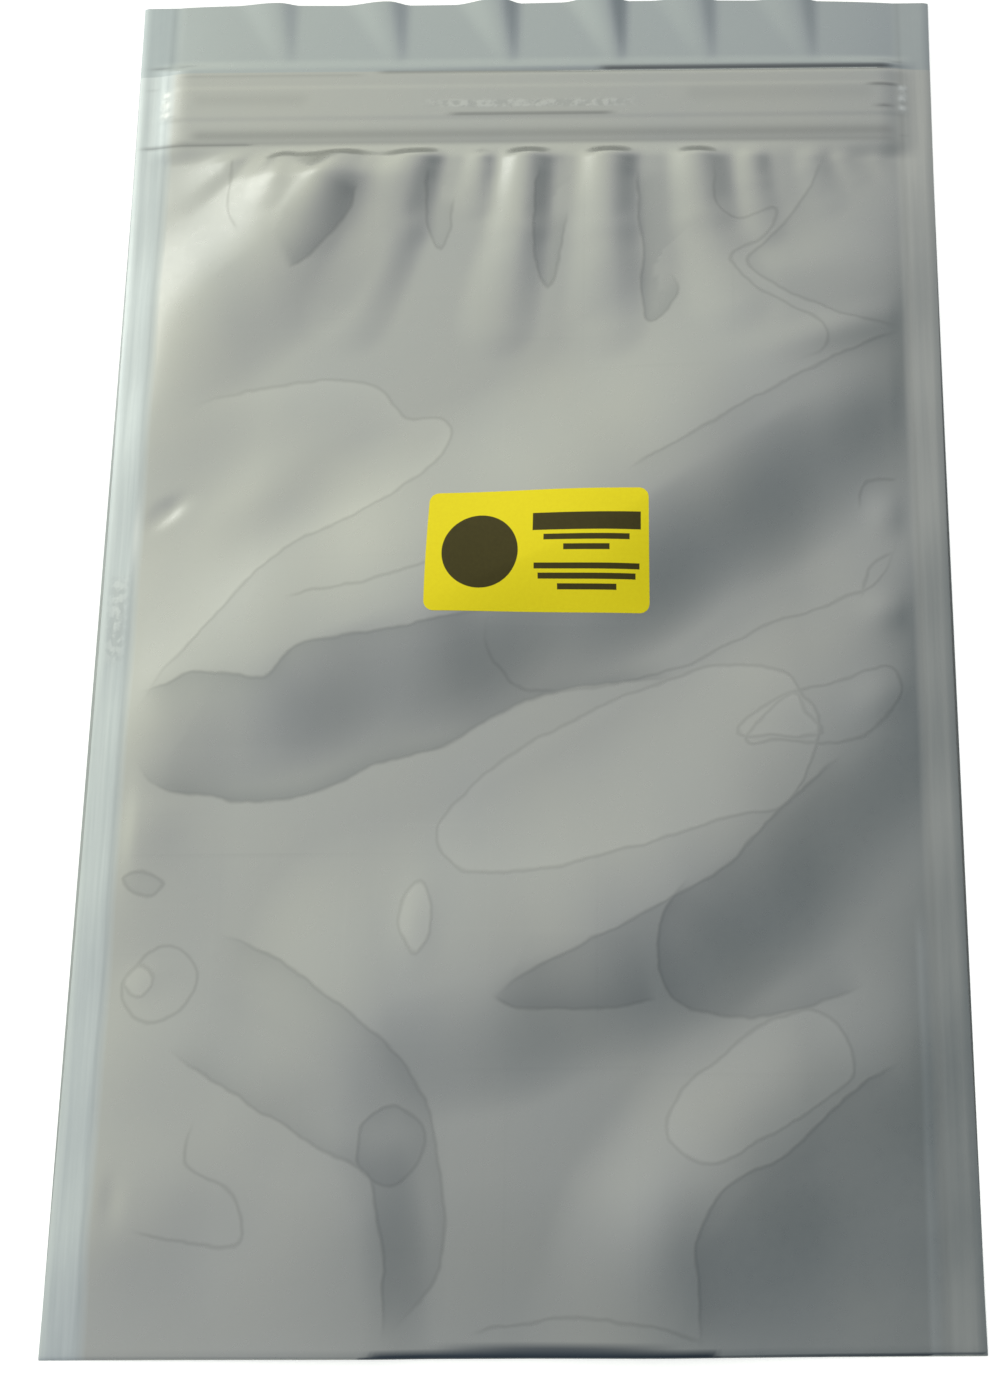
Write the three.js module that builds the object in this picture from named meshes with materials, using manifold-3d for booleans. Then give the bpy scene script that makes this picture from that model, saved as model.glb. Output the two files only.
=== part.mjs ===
// Zip-top anti-static shielding bag, lying on its back.
// One web of metallised film is folded at the foot, heat sealed up both sides and
// left open at the top above a press-to-close zip.
// Millimetres. X runs across the bag, +Y from the folded foot to the mouth, +Z up.
import * as THREE from 'three';
import { mergeVertices } from 'three/addons/utils/BufferGeometryUtils.js';
import Module from 'manifold-3d';

// Outside of the bag
const BAG_WIDTH = 220;
const BAG_LENGTH = 352;
const SIDE_SEAL = 10;
const FILM = 0.3;
const EDGE_DRAW = 1.1;
const MOUTH_WAVE = 0.7;
const FOLD_ROUND = 1.2;

// Header lips above the zip, and the slack between them
const LIP_LENGTH = 21.5;
const MOUTH_SLACK = 1.1;
const WAVE_RISE = 1.9;
const WAVE_REACH = 8;
const WAVE_TIP = 2;
const WAVE_LEAN = 1.2;
const WAVE_PINCH = 0.25;
const LIP_SIDE_FALL = 8;
const MOUTH_WAVE_LENGTH = 136;

// Zip: two tapes, and the rib and hooks that snap together
const TAPE_WIDTH = 21.5;
const TAPE = 0.15;
const BASE_WIDTH = 8;
const BASE_STEP = 0.15;
const RIB_DROP = 9.5;
const STEM = 0.5;
const HEAD_WIDTH = 1.3;
const HEAD_HEIGHT = 0.4;
const STEM_HEIGHT = 0.68;
const HOOK_WALL = 0.3;
const HOOK_LIP = 0.3;
const SNAP_CLEARANCE = 0.12;
const TAPE_CLEARANCE = 0.05;
const ZIP_END_CRUSH = 5;

// Trapped air: the height that it lifts the front film above the seals
const PUFF = 2.8;
const BROAD_RISE = 6.2;
const BROAD_REACH = 40;
const FOLD_BLEND = 0.1;
const SIDE_FALL = 3.2;
const FOOT_PUFF = 0.35;
const FOOT_BROAD = 0.3;
const GATHER_RISE = 2.2;
const GATHER_REACH = 9;
const GATHER_LENGTH = 54;
const GATHER_START = 1;
const GATHER_TIP = 0.25;
const GATHER_SPREAD = 1.5;

// Paper label stuck to the front film
const LABEL_WIDTH = 56;
const LABEL_HEIGHT = 31.5;
const LABEL_CORNER = 2.5;
const LABEL_THICKNESS = 0.2;
const LABEL_CLEARANCE = 0.15;
const LABEL_X = 1.3;
const LABEL_Y = 16.2;

// Facets
const FINE_STEP = 3.6;
const COARSE_STEP = 7;

// Places worked out from the sizes above
const HALF_WIDTH = BAG_WIDTH / 2;
const HALF_POUCH = HALF_WIDTH - SIDE_SEAL;
const FOOT_Y = -BAG_LENGTH / 2;
const MOUTH_Y = BAG_LENGTH / 2;
const TAPE_TOP_Y = MOUTH_Y - LIP_LENGTH;
const TAPE_LOW_Y = TAPE_TOP_Y - TAPE_WIDTH;
const RIB_Y = TAPE_TOP_Y - RIB_DROP;
const POUCH_LENGTH = TAPE_LOW_Y - FOOT_Y;
const SEAL_Z = 2 * FILM;
const HALF_ZIP = HALF_POUCH - ZIP_END_CRUSH;
const INSIDE_ZIP = STEM_HEIGHT + HEAD_HEIGHT + SNAP_CLEARANCE;
const ZIP_Z = 2 * (FILM + TAPE_CLEARANCE + TAPE) + INSIDE_ZIP;
const BAND_EDGE = 1.5;

// Broad diagonal folds that the trapped air makes. Each crest is a line of points
// [share of half the pouch width, share of the pouch length], with its rise at both
// ends, its reach up and down the bag, and how wide it is at its start.
const BROAD_FOLDS = [
  {
    crest: [[-1.04, 0.835], [-0.88, 0.861], [-0.71, 0.9], [-0.58, 0.965]],
    rise: [0.95, 0.55], reach: [0.8, 0.75], start: 1.1,
  },
  {
    crest: [[-1.04, 0.51], [-0.64, 0.534], [-0.24, 0.576], [0.2, 0.638], [0.5, 0.702],
      [0.8, 0.764], [1.04, 0.796]],
    rise: [1, 1.15], reach: [1.4, 0.95], start: 0.8,
  },
  {
    crest: [[-0.3, 0.262], [-0.06, 0.278], [0.2, 0.311], [0.4, 0.343], [0.6, 0.388],
      [0.8, 0.44], [1.04, 0.5]],
    rise: [0.5, 0.9], reach: [1.2, 0.85], start: 0.9,
  },
  {
    crest: [[0.36, 0], [0.44, 0.078], [0.56, 0.126], [0.78, 0.172], [1.04, 0.214]],
    rise: [0.55, 0.6], reach: [0.9, 1.05], start: 1,
  },
  {
    crest: [[-0.92, 0.239], [-0.6, 0.188], [-0.42, 0.149], [-0.36, 0.097], [-0.34, 0.013]],
    rise: [0.24, 0.34], reach: [0.4, 1.1], start: 1,
  },
];

// Gathers that hang from the zip, from left to right: [place on the zip and place of
// the foot as shares of half the pouch width, length, rise, reach left, reach right].
const GATHERS = [
  [-0.79, -0.95, 0.28, 0.6, 0.8, 0.5],
  [-0.67, -0.71, 0.3, 0.55, 0.55, 0.5],
  [-0.51, -0.6, 0.5, 0.7, 0.7, 0.8],
  [-0.3, -0.46, 0.95, 1, 1.1, 0.8],
  [-0.26, -0.27, 0.15, 0.35, 0.35, 0.35],
  [-0.13, -0.15, 0.35, 0.5, 0.55, 0.4],
  [0, -0.07, 1, 1.05, 1, 0.75],
  [0.06, 0.05, 0.15, 0.3, 0.35, 0.35],
  [0.215, 0.22, 1, 1.05, 1.05, 0.8],
  [0.27, 0.26, 0.15, 0.35, 0.35, 0.35],
  [0.45, 0.54, 0.88, 1, 1, 0.9],
  [0.6, 0.63, 0.5, 0.55, 0.6, 0.5],
  [0.76, 0.8, 0.33, 0.5, 0.6, 0.5],
  [0.84, 0.88, 0.2, 0.4, 0.4, 0.35],
  [0.94, 0.98, 0.2, 0.4, 0.4, 0.35],
];

// Waves in the front lip. Each runs from a pinched point just above the zip to the
// mouth: [place of the point as a share of half the pouch width, rise].
const LIP_WAVES = [
  [-0.98, 0.3], [-0.68, 0.5], [-0.37, 0.65], [-0.06, 0.85], [0.24, 1], [0.49, 0.65], [0.77, 0.6],
];

// Smooth step from 0 at a to 1 at b
function smooth(a, b, value) {
  return THREE.MathUtils.smoothstep((value - a) / (b - a), 0, 1);
}

// Height at (x, y) of a fold whose crest follows the path. Its flanks fall away to
// nothing at the reach on each side. The stretches of the path blend into each other.
function foldHeight(x, y, path, rise, reach, start) {
  const lengths = path.slice(1).map((point, i) => point.distanceTo(path[i]));
  const total = lengths.reduce((sum, length) => sum + length, 0);
  const blend = FOLD_BLEND * (reach[0] + reach[1]);
  let run = 0;
  let weights = 0;
  let height = 0;
  lengths.forEach((length, i) => {
    const dx = (path[i + 1].x - path[i].x) / length;
    const dy = (path[i + 1].y - path[i].y) / length;
    const rx = x - path[i].x;
    const ry = y - path[i].y;
    const along = THREE.MathUtils.clamp(rx * dx + ry * dy, 0, length);
    const away = Math.hypot(rx - along * dx, ry - along * dy);
    const turn = (dx * ry - dy * rx) / Math.max(away, 1e-6);
    const leftness = (1 + THREE.MathUtils.clamp(turn, -1, 1)) / 2;
    const share = (run + along) / total;
    const width = (reach[1] + (reach[0] - reach[1]) * leftness) * (start + (1 - start) * share);
    const t = Math.min(away / width, 1);
    const weight = Math.exp(-away / blend);
    weights += weight;
    height += weight * (rise[0] + (rise[1] - rise[0]) * share) * (1 - t * t) ** 2;
    run += length;
  });
  return weights > 0 ? height / weights : 0;
}

// Point of the pouch from shares of its half width and of its length
function pouchPoint([across, up]) {
  return new THREE.Vector2(across * HALF_POUCH, FOOT_Y + up * POUCH_LENGTH);
}

const broadFolds = BROAD_FOLDS.map(({ crest, rise, reach, start }) => ({
  path: crest.map(pouchPoint),
  rise: rise.map((share) => share * BROAD_RISE),
  reach: reach.map((share) => share * BROAD_REACH),
  start,
}));

const gathers = GATHERS.map(([top, foot, length, rise, left, right]) => {
  const drop = length * GATHER_LENGTH;
  const tip = new THREE.Vector2(foot * HALF_POUCH, TAPE_LOW_Y - drop);
  const knee = new THREE.Vector2((0.7 * top + 0.3 * foot) * HALF_POUCH, TAPE_LOW_Y - drop / 2);
  const hem = new THREE.Vector2(top * HALF_POUCH, TAPE_LOW_Y);
  return {
    path: [tip, knee, hem],
    rise: [GATHER_TIP * rise * GATHER_RISE, rise * GATHER_RISE],
    reach: [left * GATHER_REACH, right * GATHER_REACH],
    start: GATHER_SPREAD,
  };
});

const lipWaves = LIP_WAVES.map(([place, rise]) => {
  const point = new THREE.Vector2(place * HALF_POUCH, TAPE_TOP_Y + WAVE_TIP);
  const mouth = new THREE.Vector2(point.x - WAVE_LEAN, MOUTH_Y + WAVE_TIP);
  return {
    path: [point, mouth],
    rise: [0, rise * WAVE_RISE],
    reach: [WAVE_REACH, WAVE_REACH],
    start: WAVE_PINCH,
  };
});

function sumOfFolds(folds, x, y) {
  return folds.reduce((sum, fold) => (
    sum + foldHeight(x, y, fold.path, fold.rise, fold.reach, fold.start)), 0);
}

// Height of the front film over the pouch, below the zip
function pouchHeight(x, y) {
  const share = Math.min(Math.abs(x) / HALF_POUCH, 1);
  const across = 1 - share ** SIDE_FALL;
  const nearFoot = smooth(FOOT_Y, FOOT_Y + BROAD_REACH, y);
  const nearZip = smooth(TAPE_LOW_Y, TAPE_LOW_Y - BROAD_REACH / 3, y);
  const puff = PUFF * across * (FOOT_PUFF + (1 - FOOT_PUFF) * nearFoot);
  const footShare = FOOT_BROAD + (1 - FOOT_BROAD) * nearFoot;
  const broad = sumOfFolds(broadFolds, x, y) * across * nearZip * footShare;
  const pulled = sumOfFolds(gathers, x, y) * Math.sqrt(across);
  return SEAL_Z + puff + broad + pulled * smooth(TAPE_LOW_Y, TAPE_LOW_Y - GATHER_START, y);
}

// Height of the front film over the zip: level, and proud over the base of the rib
function zipBandHeight(x, y) {
  const reach = Math.abs(y - RIB_Y) - BASE_WIDTH / 2;
  const proud = THREE.MathUtils.clamp(1 - reach / (2 * BASE_STEP), 0, 1) * BASE_STEP;
  const crushed = THREE.MathUtils.clamp((HALF_POUCH - Math.abs(x)) / ZIP_END_CRUSH, 0, 1);
  return SEAL_Z + (ZIP_Z + proud - SEAL_Z) * crushed;
}

// Height of the front lip above the zip
function lipHeight(x, y) {
  const share = Math.min(Math.abs(x) / HALF_POUCH, 1);
  const across = 1 - share ** LIP_SIDE_FALL;
  return SEAL_Z + (MOUTH_SLACK + sumOfFolds(lipWaves, x, y)) * across;
}

// Height of the front film anywhere, with the rounded fold at the foot
function frontHeight(x, y) {
  if (Math.abs(x) >= HALF_POUCH) {
    return SEAL_Z * foldRound(y);
  }
  const above = smooth(TAPE_TOP_Y + BAND_EDGE / 2, TAPE_TOP_Y + 3 * BAND_EDGE, y);
  const below = smooth(TAPE_LOW_Y, TAPE_LOW_Y - 3 * BAND_EDGE, y);
  const band = zipBandHeight(x, y);
  let height = band;
  if (above > 0) {
    height = band + (lipHeight(x, y) - band) * above;
  }
  if (below > 0) {
    height = band + (pouchHeight(x, y) - band) * below;
  }
  return height * foldRound(y);
}

// Share of the full height near the fold at the foot, as a quarter round
function foldRound(y) {
  const inset = THREE.MathUtils.clamp((y - FOOT_Y) / FOLD_ROUND, 0.02, 1);
  return Math.sqrt(1 - (1 - inset) ** 2);
}

// Where a point of the flat pattern lies once the sides have drawn in at mid length
// and the mouth has gone wavy
function drawn(x, y) {
  const mid = 1 - (2 * y / BAG_LENGTH) ** 2;
  const outer = smooth(HALF_POUCH, HALF_WIDTH, Math.abs(x));
  const wave = (1 - Math.sin(2 * Math.PI * x / MOUTH_WAVE_LENGTH)) / 2;
  const lower = MOUTH_WAVE * wave * smooth(TAPE_TOP_Y, MOUTH_Y, y);
  return [x - Math.sign(x) * EDGE_DRAW * mid * outer, y - lower];
}

// Stations from a to b, both included, no more than a step apart
function stations(a, b, step) {
  const count = Math.max(1, Math.ceil((b - a) / step - 1e-6));
  return Array.from({ length: count + 1 }, (_, i) => a + (b - a) * i / count);
}

function gridRow(y, columns) {
  return columns.map((x) => new THREE.Vector2(x, y));
}

// Triangles between two neighbouring rows of points, which may differ in number
function stitch(lower, upper, push) {
  let i = 0;
  let j = 0;
  while (i < lower.length - 1 || j < upper.length - 1) {
    const lowerNext = i < lower.length - 1 ? lower[i + 1].x : Infinity;
    const upperNext = j < upper.length - 1 ? upper[j + 1].x : Infinity;
    if (lowerNext <= upperNext) {
      push(lower[i], lower[i + 1], upper[j]);
      i += 1;
    } else {
      push(lower[i], upper[j + 1], upper[j]);
      j += 1;
    }
  }
}

// A row of points thinned to every eighth one and the two ends
function sparse(row) {
  return row.filter((_, i) => i % 8 === 0 || i === row.length - 1);
}

// Closed body between a top surface and a bottom one, over rows of points. A bottom
// given as a number is flat and needs few points inside its rim.
function slab(rows, top, bottom, place = (x, y) => [x, y]) {
  const triangles = [];
  const flat = typeof bottom === 'number';
  const low = flat ? () => bottom : bottom;
  const lowRows = flat ? [rows[0], ...rows.slice(1, -1).map(sparse), rows.at(-1)] : rows;
  const at = (point, surface) => {
    const [x, y] = place(point.x, point.y);
    return new THREE.Vector3(x, y, surface(point.x, point.y));
  };
  for (let i = 0; i < rows.length - 1; i += 1) {
    stitch(rows[i], rows[i + 1], (a, b, c) => triangles.push(at(a, top), at(b, top), at(c, top)));
    stitch(lowRows[i], lowRows[i + 1], (a, b, c) => triangles.push(at(c, low), at(b, low), at(a, low)));
  }
  const rightSide = rows.slice(1, -1).map((row) => row.at(-1));
  const leftSide = rows.slice(1, -1).map((row) => row[0]).reverse();
  const rim = [...rows[0], ...rightSide, ...[...rows.at(-1)].reverse(), ...leftSide];
  rim.forEach((point, i) => {
    const next = rim[(i + 1) % rim.length];
    triangles.push(at(point, low), at(next, low), at(next, top));
    triangles.push(at(point, low), at(next, top), at(point, top));
  });
  return new THREE.BufferGeometry().setFromPoints(triangles);
}

const wasm = await Module();
wasm.setup();

// Closed solid of a geometry, ready to be joined or cut
function solid(geometry) {
  const bare = geometry.clone();
  bare.deleteAttribute('normal');
  bare.deleteAttribute('uv');
  const merged = mergeVertices(bare, 1e-4);
  return new wasm.Manifold(new wasm.Mesh({
    numProp: 3,
    vertProperties: new Float32Array(merged.attributes.position.array),
    triVerts: new Uint32Array(merged.index.array),
  }));
}

function geometryOf(manifold) {
  const { vertProperties, triVerts } = manifold.getMesh();
  const geometry = new THREE.BufferGeometry();
  geometry.setAttribute('position', new THREE.BufferAttribute(new Float32Array(vertProperties), 3));
  geometry.setIndex(new THREE.BufferAttribute(new Uint32Array(triVerts), 1));
  return geometry;
}

// Film pouch: the side seals, the air-filled pouch, the zip band and the two lips
function filmPouch() {
  const inner = [-HALF_ZIP, ...stations(-HALF_ZIP, HALF_ZIP, FINE_STEP).slice(1, -1), HALF_ZIP];
  const roomy = [-HALF_ZIP, ...stations(-HALF_ZIP, HALF_ZIP, COARSE_STEP).slice(1, -1), HALF_ZIP];
  const fine = [-HALF_WIDTH, -HALF_POUCH, ...inner, HALF_POUCH, HALF_WIDTH];
  const coarse = [-HALF_WIDTH, -HALF_POUCH, ...roomy, HALF_POUCH, HALF_WIDTH];
  const gatherFoot = TAPE_LOW_Y - GATHER_LENGTH - FINE_STEP;
  const band = bandStations();
  const rows = [
    ...[0, 0.3, 1].map((share) => gridRow(FOOT_Y + share * FOLD_ROUND, coarse)),
    ...stations(FOOT_Y + FOLD_ROUND, gatherFoot, COARSE_STEP).slice(1).map((y) => gridRow(y, coarse)),
    ...stations(gatherFoot, band[0], FINE_STEP).slice(1, -1).map((y) => gridRow(y, fine)),
    ...band.map((y) => gridRow(y, fine)),
    ...stations(band[band.length - 1], MOUTH_Y, FINE_STEP).slice(1).map((y) => gridRow(y, fine)),
  ];
  const body = solid(slab(rows, frontHeight, 0, drawn));
  const slot = solid(mouthSlot(inner, band));
  return geometryOf(body.subtract(slot));
}

// Rows of the zip band, at the edges of the tape and of the base of the rib
function bandStations() {
  const base = BASE_WIDTH / 2;
  return [
    TAPE_LOW_Y - 3 * BAND_EDGE, TAPE_LOW_Y - 2 * BAND_EDGE, TAPE_LOW_Y - BAND_EDGE, TAPE_LOW_Y,
    RIB_Y - base - 2 * BASE_STEP, RIB_Y - base, RIB_Y + base, RIB_Y + base + 2 * BASE_STEP,
    TAPE_TOP_Y + BAND_EDGE / 2, TAPE_TOP_Y + 1.8 * BAND_EDGE, TAPE_TOP_Y + 3 * BAND_EDGE,
  ];
}

// The space between the lips and round the zip, open at the mouth
function mouthSlot(inner, band) {
  const columns = [-HALF_POUCH, ...inner, HALF_POUCH];
  const start = TAPE_LOW_Y - BAND_EDGE / 2;
  const rows = [
    gridRow(start, columns),
    ...band.filter((y) => y > start).map((y) => gridRow(y, columns)),
    ...stations(band[band.length - 1], MOUTH_Y + BAND_EDGE, FINE_STEP).slice(1)
      .map((y) => gridRow(y, columns)),
  ];
  const thinnest = FILM + TAPE_CLEARANCE;
  const ceiling = (x, y) => Math.max(frontHeight(x, y) - FILM, thinnest);
  return slab(rows, ceiling, FILM, drawn);
}

// A zip strip is one profile of [y, z] points drawn out along X
function drawnOut(points) {
  const shape = new THREE.Shape(points.map(([y, z]) => new THREE.Vector2(y, z)));
  const geometry = new THREE.ExtrudeGeometry(shape, {
    depth: 2 * (HALF_ZIP - TAPE_CLEARANCE), bevelEnabled: false,
  });
  const turn = new THREE.Matrix4().makeBasis(
    new THREE.Vector3(0, 1, 0), new THREE.Vector3(0, 0, 1), new THREE.Vector3(1, 0, 0));
  geometry.applyMatrix4(turn);
  geometry.translate(-HALF_ZIP + TAPE_CLEARANCE, 0, 0);
  return geometry;
}

// Back strip: tape, thicker base and the arrow-headed rib
function zipStripBack() {
  const floor = FILM + TAPE_CLEARANCE;
  const face = floor + TAPE;
  const neck = face + STEM_HEIGHT;
  const base = BASE_WIDTH / 2;
  return drawnOut([
    [TAPE_LOW_Y, floor], [TAPE_TOP_Y, floor], [TAPE_TOP_Y, face],
    [RIB_Y + base, face], [RIB_Y + base, face + BASE_STEP],
    [RIB_Y + STEM / 2, face + BASE_STEP], [RIB_Y + STEM / 2, neck],
    [RIB_Y + HEAD_WIDTH / 2, neck], [RIB_Y + STEM / 2, neck + HEAD_HEIGHT],
    [RIB_Y - STEM / 2, neck + HEAD_HEIGHT], [RIB_Y - HEAD_WIDTH / 2, neck],
    [RIB_Y - STEM / 2, neck], [RIB_Y - STEM / 2, face + BASE_STEP],
    [RIB_Y - base, face + BASE_STEP], [RIB_Y - base, face], [TAPE_LOW_Y, face],
  ]);
}

// Front strip: tape, raised base and the two hooks that close round the rib
function zipStripFront() {
  const roof = ZIP_Z - FILM - TAPE_CLEARANCE;
  const face = roof - TAPE;
  const base = BASE_WIDTH / 2;
  const cheek = HEAD_WIDTH / 2 + SNAP_CLEARANCE;
  const throat = cheek - HOOK_LIP;
  const neck = FILM + TAPE_CLEARANCE + TAPE + STEM_HEIGHT;
  const lipTop = neck - SNAP_CLEARANCE;
  const lipLow = lipTop - HOOK_WALL;
  const side = (s) => [
    [RIB_Y + s * throat, lipLow], [RIB_Y + s * throat, lipTop],
    [RIB_Y + s * cheek, lipTop], [RIB_Y + s * cheek, face],
  ];
  const outside = (s) => [
    [RIB_Y + s * (cheek + HOOK_WALL), face], [RIB_Y + s * (cheek + HOOK_WALL), lipLow + HOOK_WALL / 2],
    [RIB_Y + s * cheek, lipLow],
  ];
  return drawnOut([
    [TAPE_TOP_Y, roof], [RIB_Y + base + 2 * BASE_STEP, roof], [RIB_Y + base, roof + BASE_STEP],
    [RIB_Y - base, roof + BASE_STEP], [RIB_Y - base - 2 * BASE_STEP, roof], [TAPE_LOW_Y, roof],
    [TAPE_LOW_Y, face], ...outside(-1), ...side(-1), ...side(1).reverse(),
    ...outside(1).reverse(), [TAPE_TOP_Y, face],
  ].reverse());
}

// Label: thin paper that follows the film under it, with rounded corners
function label() {
  const half = LABEL_WIDTH / 2;
  const straight = LABEL_HEIGHT / 2 - LABEL_CORNER;
  const corner = [0, 30, 60, 90].map((angle) => angle * Math.PI / 180);
  const heights = [
    ...corner.map((a) => [-straight - LABEL_CORNER * Math.cos(a), LABEL_CORNER * (1 - Math.sin(a))]),
    ...stations(-straight, straight, FINE_STEP).slice(1, -1).map((y) => [y, 0]),
    ...corner.reverse().map((a) => [straight + LABEL_CORNER * Math.cos(a), LABEL_CORNER * (1 - Math.sin(a))]),
  ];
  const across = stations(-1, 1, FINE_STEP / half);
  const rows = heights.map(([y, inset]) => gridRow(
    LABEL_Y + y, across.map((share) => LABEL_X + share * (half - inset))));
  const under = (x, y) => frontHeight(x, y) + LABEL_CLEARANCE;
  return slab(rows, (x, y) => under(x, y) + LABEL_THICKNESS, under);
}

// One named mesh of one piece and its material
function piece(name, geometry, color, roughness, metalness) {
  const mesh = new THREE.Mesh(geometry, new THREE.MeshStandardMaterial({ color, roughness, metalness }));
  mesh.name = name;
  return mesh;
}

const bag = new THREE.Group();
bag.name = 'anti_static_bag';
bag.add(
  piece('film_pouch', filmPouch(), 0x9da3a2, 0.3, 0.9),
  piece('zip_strip_back', zipStripBack(), 0xc9cdcb, 0.45, 0),
  piece('zip_strip_front', zipStripFront(), 0xc9cdcb, 0.45, 0),
  piece('label', label(), 0xf2de0c, 0.5, 0),
);

export default bag;
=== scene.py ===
import math

import bmesh
import bpy
import numpy as np
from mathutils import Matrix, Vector


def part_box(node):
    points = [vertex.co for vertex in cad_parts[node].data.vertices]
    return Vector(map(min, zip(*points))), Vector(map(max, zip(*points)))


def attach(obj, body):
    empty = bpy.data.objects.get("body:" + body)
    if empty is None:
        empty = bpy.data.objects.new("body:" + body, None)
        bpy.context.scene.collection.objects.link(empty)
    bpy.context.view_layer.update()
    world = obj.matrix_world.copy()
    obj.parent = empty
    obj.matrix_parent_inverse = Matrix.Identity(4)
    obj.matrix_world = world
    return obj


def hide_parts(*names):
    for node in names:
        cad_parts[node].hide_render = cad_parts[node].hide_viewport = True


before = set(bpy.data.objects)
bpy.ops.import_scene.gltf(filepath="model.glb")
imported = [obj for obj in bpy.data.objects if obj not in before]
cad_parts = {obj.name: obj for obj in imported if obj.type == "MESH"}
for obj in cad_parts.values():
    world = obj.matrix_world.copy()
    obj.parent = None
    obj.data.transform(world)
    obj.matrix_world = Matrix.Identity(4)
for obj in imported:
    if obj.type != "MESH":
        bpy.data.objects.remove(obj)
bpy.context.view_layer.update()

# Camera. A phone held over the bag a little towards its foot, right of its middle.
# The picture was cropped more on the right, which the lens shift takes up. All of it
# comes from the four corners of the bag in the photograph.
MM = 0.001
PHOTO_HEIGHT = 1373
FOCAL_PIXELS = 1200
SENSOR = 36
CROP_SHIFT = -0.1426
camera_data = bpy.data.cameras.new("camera")
camera_data.sensor_width = SENSOR
camera_data.lens = FOCAL_PIXELS / PHOTO_HEIGHT * SENSOR
camera_data.shift_x = CROP_SHIFT
camera = bpy.data.objects.new("camera", camera_data)
camera.location = Vector((44.5, -70.1, 300)) * MM
camera.rotation_euler = [math.radians(angle) for angle in (9.763, 0.358, -0.378)]
bpy.context.scene.collection.objects.link(camera)
bpy.context.scene.camera = camera

# Film pouch: the shape. One web of metallised film, folded at the foot, heat sealed
# up both sides and open at the mouth. Trapped air lifts the front into broad
# diagonal folds, and the zip pulls it into gathers.
pouch_low, pouch_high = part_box("film_pouch")
zip_low, zip_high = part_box("zip_strip_front")
HALF_WIDTH = pouch_high.x
SIDE_SEAL = 10 * MM
HALF_POUCH = HALF_WIDTH - SIDE_SEAL
FOOT_Y = pouch_low.y
MOUTH_Y = pouch_high.y
TAPE_LOW_Y = zip_low.y
TAPE_TOP_Y = zip_high.y
RIB_DROP = 9.5 * MM
RIB_Y = TAPE_TOP_Y - RIB_DROP
POUCH_LENGTH = TAPE_LOW_Y - FOOT_Y
HALF_ZIP = zip_high.x
SEAL_Z = 0.6 * MM
BASE_HALF = 4 * MM
BASE_STEP = 0.15 * MM
FILM = 0.1 * MM
FILM_OVER_ZIP = 0.35 * MM
LINING_OVER_ZIP = 0.34 * MM
ZIP_Z = zip_high.z - BASE_STEP + FILM_OVER_ZIP
BAND_EDGE = 1.5 * MM
ZIP_END_CRUSH = 7 * MM
EDGE_DRAW = 1.1 * MM
MOUTH_WAVE = 0.7 * MM
MOUTH_WAVE_LENGTH = 136 * MM
FOLD_ROUND = 1.2 * MM

# The crease along the top of the zip is deeper to the right
CREASE_HALF = 0.7 * MM
CREASE_LEFT = 0.03 * MM
CREASE_MORE = 0.35 * MM
CREASE_FROM = -60 * MM
CREASE_TO = 20 * MM
LOW_CREASE_HALF = 1.5 * MM
LOW_CREASE_DROP = 0.6 * MM
LOW_CREASE = 0.1 * MM

PUFF = 2.8 * MM
BROAD_RISE = 6.6 * MM
BROAD_REACH = 40 * MM
FOLD_BLEND = 0.1
LEFT_FALL = 3.8
RIGHT_FALL = 3.0
FOOT_PUFF = 0.35
FOOT_BROAD = 0.3
GATHER_RISE = 2.7 * MM
GATHER_REACH = 9 * MM
GATHER_LENGTH = 54 * MM
GATHER_START = 7 * MM
GATHER_TIP = 0.25
GATHER_SPREAD = 1.5
MOUTH_SLACK = 1.1 * MM
WAVE_RISE = 2.5 * MM
WAVE_REACH = 8 * MM
WAVE_TIP = 2 * MM
WAVE_LEAN = 0.5
WAVE_LEFT = 1.6
WAVE_RIGHT = 0.8
WAVE_PINCH = 0.25
LIP_SIDE_FALL = 8

# Crest points as shares of half the pouch width and of its length, rise at both
# ends, reach up and down the bag, and the width at the start
BROAD_FOLDS = [
    ([(-1.04, 0.835), (-0.88, 0.861), (-0.71, 0.9), (-0.58, 0.965)], (0.7, 0.9), (0.8, 0.75), 1.1),
    ([(-1.04, 0.51), (-0.64, 0.534), (-0.24, 0.576), (0.2, 0.638), (0.5, 0.702), (0.8, 0.764),
      (1.04, 0.796)], (1, 1.15), (1.4, 0.95), 0.8),
    ([(-0.3, 0.262), (-0.06, 0.278), (0.2, 0.311), (0.4, 0.343), (0.6, 0.388), (0.8, 0.44), (1.04, 0.5)],
     (0.5, 0.9), (1.2, 0.85), 0.9),
    ([(0.36, 0), (0.44, 0.078), (0.56, 0.126), (0.78, 0.172), (1.04, 0.214)],
     (0.55, 0.6), (0.9, 1.05), 1),
    ([(-0.92, 0.239), (-0.6, 0.188), (-0.42, 0.149), (-0.36, 0.097), (-0.34, 0.013)],
     (0.24, 0.34), (0.4, 1.1), 1),
]

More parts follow.
